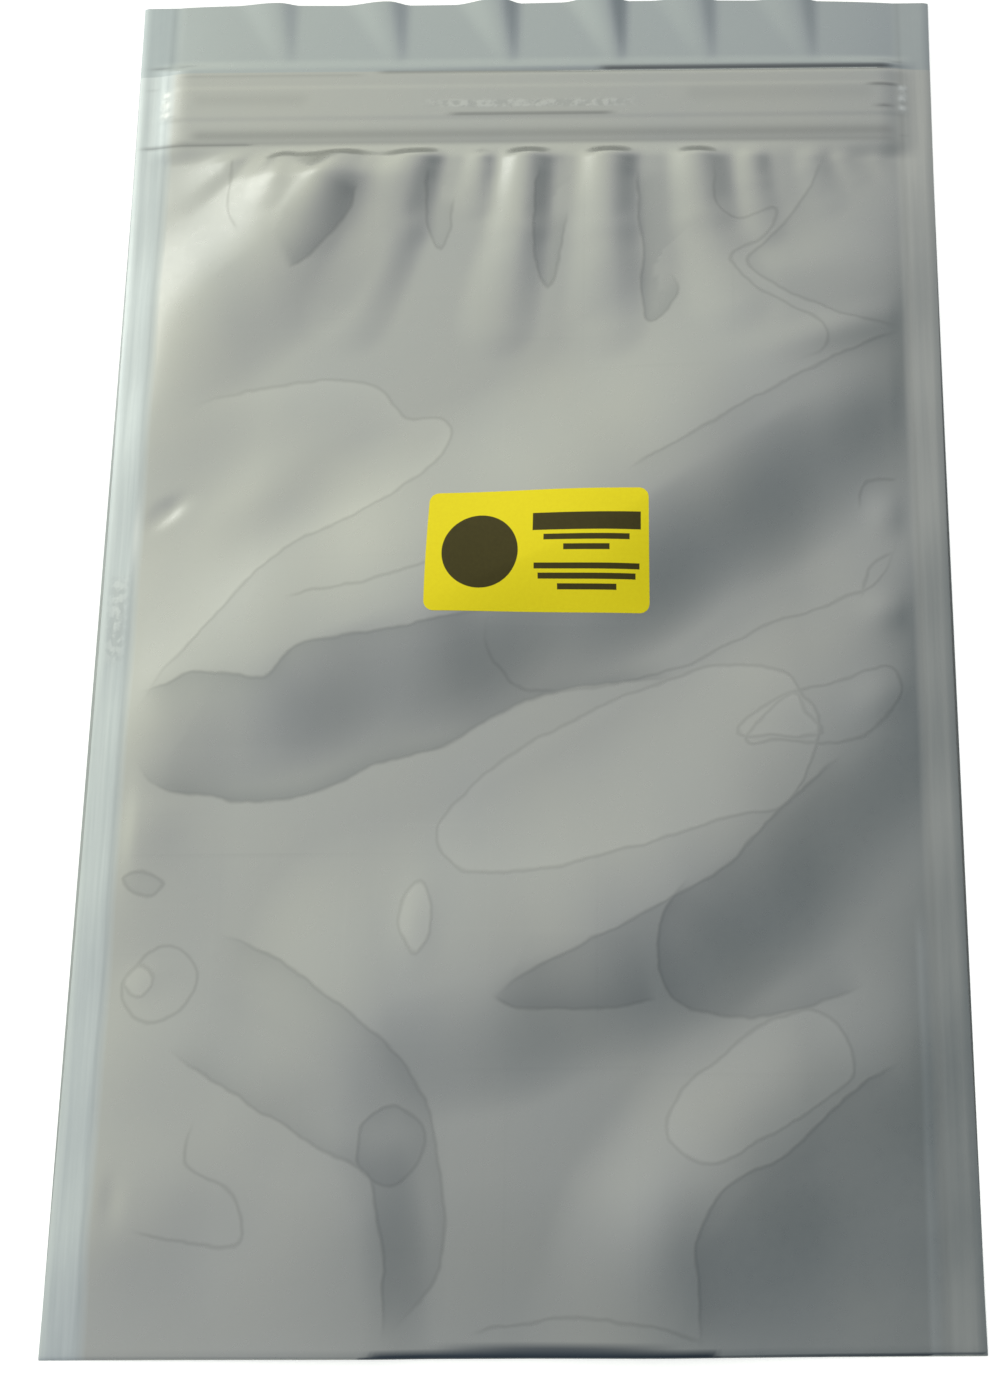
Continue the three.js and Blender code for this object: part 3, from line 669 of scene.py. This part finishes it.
place = nodes.new("ShaderNodeTexCoord")
CLING_WOBBLE = 2.6
CLING_HALF_WIDTH = 0.85
wobble = math_node("MULTIPLY", math_node("SUBTRACT", noise_node(120, 2), 0.5), CLING_WOBBLE)
tide_lines = 0.0
cling_tone_and_painted_light = 0.0
for group in range(4):
    cling = nodes.new("ShaderNodeGroup")
    cling.node_tree = cling_group
    cling.inputs["Half Width"].default_value = CLING_HALF_WIDTH
    links.new(wobble, cling.inputs["Wobble"])
    links.new(attribute_node(f"cling_{group}"), cling.inputs["Field"])
    tide_lines = math_node("MAXIMUM", tide_lines, cling.outputs["Line"])
    cling_tone_and_painted_light = math_node("ADD", cling_tone_and_painted_light, cling.outputs["Tone"])
edge_parts = nodes.new("ShaderNodeSeparateXYZ")
links.new(attribute_node("seal_melt_highlight_edge_shade"), edge_parts.inputs[0])
streak_map = nodes.new("ShaderNodeMapping")
streak_map.inputs["Scale"].default_value = (1, 0.03, 1)
links.new(place.outputs["Object"], streak_map.inputs["Vector"])
streaks = noise_node(900, 2, streak_map.outputs["Vector"])
mottle = noise_node(22, 3)
grain = noise_node(420, 2)

mark_parts = nodes.new("ShaderNodeSeparateXYZ")
links.new(attribute_node("creases"), mark_parts.inputs[0])
specks = nodes.new("ShaderNodeMapRange")
specks.inputs["From Min"].default_value = 0.4
specks.inputs["From Max"].default_value = 0.62
links.new(noise_node(650, 1), specks.inputs["Value"])

clean_film = color_mix(mottle, (0.325, 0.34, 0.35, 1), (0.36, 0.365, 0.345, 1))
lined_film = color_mix(math_node("MULTIPLY", tide_lines, 0.22), clean_film, (0.12, 0.125, 0.12, 1))
# Tide tone: partly the film's own see-through colour where it clings, partly painted shade where the tone is
# dark and painted highlight where it is light
cling_dark_and_painted_shade_film = color_mix(math_node("MULTIPLY", cling_tone_and_painted_light, 0.45), lined_film, (0.09, 0.105, 0.12, 1))
cling_light_and_painted_highlight_film = color_mix(math_node("MULTIPLY", cling_tone_and_painted_light, -0.35), cling_dark_and_painted_shade_film, (0.58, 0.59, 0.56, 1))
# The seals' streaks are their own; the left seal is painted lighter and bluer as a painted reflection of the
# bluish light at the upper left, the right seal greyer and darker as painted shade
left_seal_streaks_and_reflection = color_mix(streaks, (0.36, 0.40, 0.425, 1), (0.48, 0.52, 0.54, 1))
right_seal_streaks_and_shade = color_mix(streaks, (0.36, 0.37, 0.365, 1), (0.43, 0.435, 0.42, 1))
across_bag = nodes.new("ShaderNodeSeparateXYZ")
links.new(place.outputs["Object"], across_bag.inputs[0])
seal_streaks_and_painted_light = color_mix(math_node("GREATER_THAN", across_bag.outputs["X"], 0), left_seal_streaks_and_reflection, right_seal_streaks_and_shade)
on_lip = math_node("GREATER_THAN", across_bag.outputs["Y"], TAPE_TOP_Y)
sealed_film = color_mix(edge_parts.outputs["X"], cling_light_and_painted_highlight_film, seal_streaks_and_painted_light)
# The lip above the zip is mixed towards a bluish grey: a painted reflection of the bluish light above the bag
with_lip_painted_reflection = color_mix(math_node("MULTIPLY", on_lip, 0.7), sealed_film, (0.30, 0.34, 0.365, 1))
# Painted shade along the inner edge of each seal
with_seal_edge_shade = color_mix(math_node("MULTIPLY", edge_parts.outputs["Z"], 0.35), with_lip_painted_reflection, (0.12, 0.13, 0.135, 1))
# Painted shade darkens the creases along the zip
crease_shade_share = math_node("MULTIPLY", mark_parts.outputs["X"], 0.85)
with_crease_shade = color_mix(crease_shade_share, with_seal_edge_shade, (0.06, 0.065, 0.07, 1))
spotted = color_mix(specks.outputs["Result"], (0.26, 0.275, 0.28, 1), (0.52, 0.54, 0.54, 1))
with_rough = color_mix(math_node("MULTIPLY", mark_parts.outputs["Y"], 0.28), with_crease_shade, spotted)
# Lighter melted spots with painted highlights on them, and the painted highlight strips by the seals
with_melt_and_highlight = color_mix(edge_parts.outputs["Y"], with_rough, (0.62, 0.64, 0.64, 1))
with_foot = color_mix(mark_parts.outputs["Z"], with_melt_and_highlight, (0.045, 0.06, 0.08, 1))
links.new(with_foot, film_shader.inputs["Base Color"])
rough_seal = math_node("ADD", 0.24, math_node("MULTIPLY", edge_parts.outputs["X"], 0.10))
links.new(math_node("ADD", math_node("MULTIPLY", grain, 0.10), rough_seal), film_shader.inputs["Roughness"])
bump = nodes.new("ShaderNodeBump")
bump.inputs["Strength"].default_value = 0.35
bump.inputs["Distance"].default_value = 0.05 * MM
relief = math_node("ADD", math_node("MULTIPLY", grain, 0.04), math_node("MULTIPLY", noise_node(90, 2), 2.0))
relief = math_node("ADD", relief, math_node("MULTIPLY", tide_lines, 0.6))
crimped = math_node("MULTIPLY", mark_parts.outputs["Y"], math_node("MULTIPLY", specks.outputs["Result"], 1.6))
links.new(math_node("ADD", relief, crimped), bump.inputs["Height"])
links.new(bump.outputs["Normal"], film_shader.inputs["Normal"])
film.data.materials.append(film_material)
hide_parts("film_pouch")
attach(film, "root")

# Label: yellow satin paper with dark print, stuck to the front film, so that it follows
# the film under it. The print is a plain disc and bars.
label_low, label_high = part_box("label")
LABEL_WIDTH = label_high.x - label_low.x
LABEL_HEIGHT = label_high.y - label_low.y
LABEL_CORNER = 2.5 * MM
LABEL_GAP = 0.03 * MM
LABEL_PAPER = 0.15 * MM
LABEL_RIGHT = 2.8 * MM
LABEL_DOWN = 1.0 * MM
label_x = (label_low.x + label_high.x) / 2 + LABEL_RIGHT
label_y = (label_low.y + label_high.y) / 2 - LABEL_DOWN
bpy.ops.object.select_all(action="DESELECT")
bpy.ops.mesh.primitive_grid_add(x_subdivisions=76, y_subdivisions=44, size=2, location=(0, 0, 0))
paper = bpy.context.active_object
paper.name = "paper_label"
for vertex in paper.data.vertices:
    across = vertex.co.x * LABEL_WIDTH / 2
    up = vertex.co.y * LABEL_HEIGHT / 2
    out_x = max(abs(across) - LABEL_WIDTH / 2 + LABEL_CORNER, 0)
    out_y = max(abs(up) - LABEL_HEIGHT / 2 + LABEL_CORNER, 0)
    pull = min(1, LABEL_CORNER / max(math.hypot(out_x, out_y), 1e-9))
    across = math.copysign(abs(across) - out_x * (1 - pull), across)
    up = math.copysign(abs(up) - out_y * (1 - pull), up)
    vertex.co.x = label_x + across
    vertex.co.y = label_y + up
    film_z = front_height(np.array(label_x + across), np.array(label_y + up))
    vertex.co.z = float(film_z) + LABEL_GAP
thickness = paper.modifiers.new("thickness", "SOLIDIFY")
thickness.thickness = LABEL_PAPER
thickness.offset = 1
bpy.ops.object.modifier_apply(modifier=thickness.name)
bpy.ops.object.shade_smooth_by_angle(angle=math.radians(40))

# Label: the finish. A printed shape's ink is a mask round its middle, in millimetres.
ink_group = bpy.data.node_groups.new("printed_box", "ShaderNodeTree")
ink_group.interface.new_socket("Place", in_out="INPUT", socket_type="NodeSocketVector")
ink_group.interface.new_socket("Middle", in_out="INPUT", socket_type="NodeSocketVector")
ink_group.interface.new_socket("Half Size", in_out="INPUT", socket_type="NodeSocketVector")
ink_group.interface.new_socket("Ink", in_out="OUTPUT", socket_type="NodeSocketFloat")
nodes = ink_group.nodes
links = ink_group.links
group_in = nodes.new("NodeGroupInput")
group_out = nodes.new("NodeGroupOutput")
from_middle = nodes.new("ShaderNodeVectorMath")
from_middle.operation = "SUBTRACT"
size_of = nodes.new("ShaderNodeVectorMath")
size_of.operation = "ABSOLUTE"
past_edge = nodes.new("ShaderNodeVectorMath")
past_edge.operation = "SUBTRACT"
sides = nodes.new("ShaderNodeSeparateXYZ")
farthest = nodes.new("ShaderNodeMath")
farthest.operation = "MAXIMUM"
ink_edge = nodes.new("ShaderNodeMapRange")
ink_edge.inputs["From Min"].default_value = 0.06
ink_edge.inputs["From Max"].default_value = -0.06
links.new(group_in.outputs["Place"], from_middle.inputs[0])
links.new(group_in.outputs["Middle"], from_middle.inputs[1])
links.new(from_middle.outputs[0], size_of.inputs[0])
links.new(size_of.outputs[0], past_edge.inputs[0])
links.new(group_in.outputs["Half Size"], past_edge.inputs[1])
links.new(past_edge.outputs[0], sides.inputs[0])
links.new(sides.outputs["X"], farthest.inputs[0])
links.new(sides.outputs["Y"], farthest.inputs[1])
links.new(farthest.outputs[0], ink_edge.inputs["Value"])
links.new(ink_edge.outputs["Result"], group_out.inputs["Ink"])

label_material = bpy.data.materials.new("label_paper")
label_material.use_nodes = True
nodes = label_material.node_tree.nodes
links = label_material.node_tree.links
label_shader = nodes["Principled BSDF"]
label_shader.inputs["Specular IOR Level"].default_value = 0.15
label_shader.inputs["Coat Weight"].default_value = 0.05
label_shader.inputs["Coat Roughness"].default_value = 0.3
place = nodes.new("ShaderNodeTexCoord")
on_label = nodes.new("ShaderNodeMapping")
on_label.inputs["Location"].default_value = (-label_x / MM, -label_y / MM, 0)
on_label.inputs["Scale"].default_value = (1 / MM, 1 / MM, 0)
links.new(place.outputs["Object"], on_label.inputs["Vector"])
PRINTED_BARS = [
    ((12.4, 7.1), (13.6, 2.3)), ((12.4, 3.0), (10.8, 0.75)), ((12.4, 0.4), (5.8, 0.75)),
    ((12.4, -4.4), (13.2, 0.75)), ((12.4, -6.9), (12.2, 0.75)), ((12.4, -9.5), (7.4, 0.75)),
]
DISC_MIDDLE = (-14.4, -0.4, 0)
DISC_RADIUS = 9.6
ink = 0.0
for middle, half_size in PRINTED_BARS:
    bar = nodes.new("ShaderNodeGroup")
    bar.node_tree = ink_group
    bar.inputs["Middle"].default_value = (*middle, 0)
    bar.inputs["Half Size"].default_value = (*half_size, 0)
    links.new(on_label.outputs["Vector"], bar.inputs["Place"])
    ink = math_node("MAXIMUM", ink, bar.outputs["Ink"])
disc_reach = nodes.new("ShaderNodeVectorMath")
disc_reach.operation = "DISTANCE"
disc_reach.inputs[1].default_value = DISC_MIDDLE
links.new(on_label.outputs["Vector"], disc_reach.inputs[0])
disc_edge = nodes.new("ShaderNodeMapRange")
disc_edge.inputs["From Min"].default_value = DISC_RADIUS + 0.06
disc_edge.inputs["From Max"].default_value = DISC_RADIUS - 0.06
links.new(disc_reach.outputs["Value"], disc_edge.inputs["Value"])
ink = math_node("MAXIMUM", ink, disc_edge.outputs["Result"])
fibre = noise_node(1100, 3)
paper_color = color_mix(fibre, (0.84, 0.69, 0.008, 1), (0.90, 0.76, 0.012, 1))
ink_color = color_mix(fibre, (0.018, 0.014, 0.004, 1), (0.035, 0.028, 0.008, 1))
printed_paper = color_mix(math_node("MULTIPLY", ink, 0.97), paper_color, ink_color)
links.new(printed_paper, label_shader.inputs["Base Color"])
label_rough = math_node("ADD", 0.40, math_node("MULTIPLY", fibre, 0.16))
printed_rough = math_node("SUBTRACT", label_rough, math_node("MULTIPLY", ink, 0.10))
links.new(printed_rough, label_shader.inputs["Roughness"])
bump = nodes.new("ShaderNodeBump")
bump.inputs["Strength"].default_value = 0.2
bump.inputs["Distance"].default_value = 0.02 * MM
links.new(fibre, bump.inputs["Height"])
links.new(bump.outputs["Normal"], label_shader.inputs["Normal"])
paper.data.materials.append(label_material)
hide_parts("label")
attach(paper, "root")

# Zip strips: two extruded tapes of cloudy polyethylene, with fine draw lines along
# them. They lie inside the lips, and only their edges show from the open mouth.
zip_material = bpy.data.materials.new("zip_plastic")
zip_material.use_nodes = True
nodes = zip_material.node_tree.nodes
links = zip_material.node_tree.links
zip_shader = nodes["Principled BSDF"]
zip_shader.inputs["Subsurface Weight"].default_value = 0.15
zip_shader.inputs["Subsurface Radius"].default_value = (0.6 * MM, 0.6 * MM, 0.5 * MM)
place = nodes.new("ShaderNodeTexCoord")
draw_lines = nodes.new("ShaderNodeMapping")
draw_lines.inputs["Scale"].default_value = (0.02, 1, 1)
links.new(place.outputs["Object"], draw_lines.inputs["Vector"])
drawn_lines = noise_node(2600, 2, draw_lines.outputs["Vector"])
cloud = noise_node(60, 3)
links.new(color_mix(cloud, (0.56, 0.59, 0.58, 1), (0.66, 0.68, 0.66, 1)), zip_shader.inputs["Base Color"])
links.new(math_node("ADD", 0.32, math_node("MULTIPLY", drawn_lines, 0.2)), zip_shader.inputs["Roughness"])
bump = nodes.new("ShaderNodeBump")
bump.inputs["Strength"].default_value = 0.3
bump.inputs["Distance"].default_value = 0.03 * MM
links.new(drawn_lines, bump.inputs["Height"])
links.new(bump.outputs["Normal"], zip_shader.inputs["Normal"])
for strip_name in ("zip_strip_back", "zip_strip_front"):
    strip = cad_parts[strip_name]
    strip.data.materials.clear()
    strip.data.materials.append(zip_material)

# Studio: a plain pale floor in a soft tent that is bright at the upper left and grey
# at the lower right, with one lamp. The camera sees the floor and the tent as white.
bpy.ops.object.select_all(action="DESELECT")
bpy.ops.mesh.primitive_plane_add(size=6, location=(0, 0, -0.02 * MM))
floor = bpy.context.active_object
floor.name = "floor"
floor_material = bpy.data.materials.new("pale_floor")
floor_material.use_nodes = True
nodes = floor_material.node_tree.nodes
links = floor_material.node_tree.links
floor_shader = nodes["Principled BSDF"]
floor_shader.inputs["Base Color"].default_value = (0.9, 0.9, 0.9, 1)
floor_shader.inputs["Roughness"].default_value = 0.9
floor_glow = nodes.new("ShaderNodeLightPath")
links.new(floor_glow.outputs["Is Camera Ray"], floor_shader.inputs["Emission Strength"])
floor_shader.inputs["Emission Color"].default_value = (0.4, 0.4, 0.4, 1)
floor.data.materials.append(floor_material)

TENT_SIDE = (-0.83, 0.56, 0)
TENT_TONES = [(0.23, (0.25, 0.295, 0.32, 1)), (0.57, (0.92, 0.93, 0.91, 1)), (0.91, (1.52, 1.54, 1.33, 1))]
tent = bpy.data.worlds.new("soft_tent")
bpy.context.scene.world = tent
tent.use_nodes = True
nodes = tent.node_tree.nodes
links = tent.node_tree.links
direction = nodes.new("ShaderNodeTexCoord")
toward = nodes.new("ShaderNodeVectorMath")
toward.operation = "DOT_PRODUCT"
toward.inputs[1].default_value = Vector(TENT_SIDE).normalized()
shade = nodes.new("ShaderNodeValToRGB")
shade.color_ramp.elements.new(0.5)
for stop, (position, color) in zip(shade.color_ramp.elements, TENT_TONES):
    stop.position = position
    stop.color = color
half = nodes.new("ShaderNodeMapRange")
half.inputs["From Min"].default_value = -1
seen = nodes.new("ShaderNodeLightPath")
white = nodes.new("ShaderNodeMix")
white.data_type = "RGBA"
white.inputs["B"].default_value = (1, 1, 1, 1)
links.new(direction.outputs["Generated"], toward.inputs[0])
links.new(toward.outputs["Value"], half.inputs["Value"])
links.new(half.outputs["Result"], shade.inputs["Fac"])
links.new(seen.outputs["Is Camera Ray"], white.inputs["Factor"])
links.new(shade.outputs["Color"], white.inputs["A"])
links.new(white.outputs["Result"], nodes["Background"].inputs["Color"])
nodes["Background"].inputs["Strength"].default_value = 1


def soft_lamp(name, place, size, power, color):
    """A rectangular soft box at a place, turned to the bag."""
    data = bpy.data.lights.new(name, "AREA")
    data.shape = "RECTANGLE"
    data.size, data.size_y = size
    data.energy = power
    data.color = color
    lamp = bpy.data.objects.new(name, data)
    lamp.location = place
    lamp.rotation_euler = (-Vector(place)).to_track_quat("-Z", "Y").to_euler()
    bpy.context.scene.collection.objects.link(lamp)


soft_lamp("low_side_lamp", (-1.3, 0.9, 0.5), (0.9, 0.9), 3, (1.0, 1.0, 0.97))

bpy.context.scene.view_settings.view_transform = "Standard"
